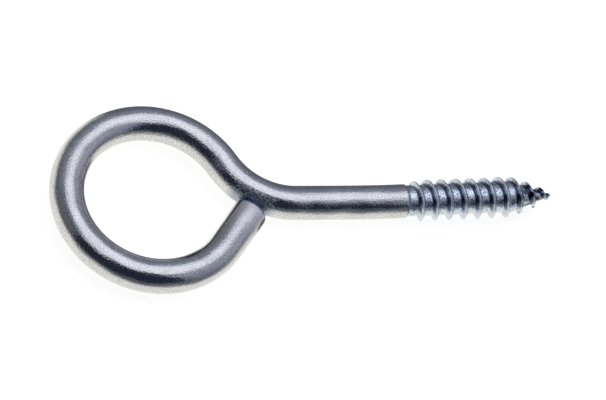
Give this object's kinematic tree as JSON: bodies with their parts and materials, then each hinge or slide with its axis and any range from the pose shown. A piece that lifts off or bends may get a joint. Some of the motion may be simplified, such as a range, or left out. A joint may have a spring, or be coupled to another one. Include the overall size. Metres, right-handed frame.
{
  "type": "screw eye",
  "caption": "Screw eye bent from one length of round steel wire: a closed eye with its end butted on the neck, a plain shank, and a wood thread with a gimlet point.",
  "frame": {"origin": "middle of the eye, at mid-thickness of the wire", "axes": "+X along the shank towards the point, +Z along the axis of the eye, +Y in the plane of the eye towards the side that the neck bends from"},
  "size_m": [0.0916, 0.036, 0.0072],
  "materials": {
    "zinc_plated_steel": "bright zinc plating with a fine grain, semi-polished"
  },
  "bodies": {
    "root": {"screw_eye": "zinc_plated_steel"}
  },
  "joints": []
}
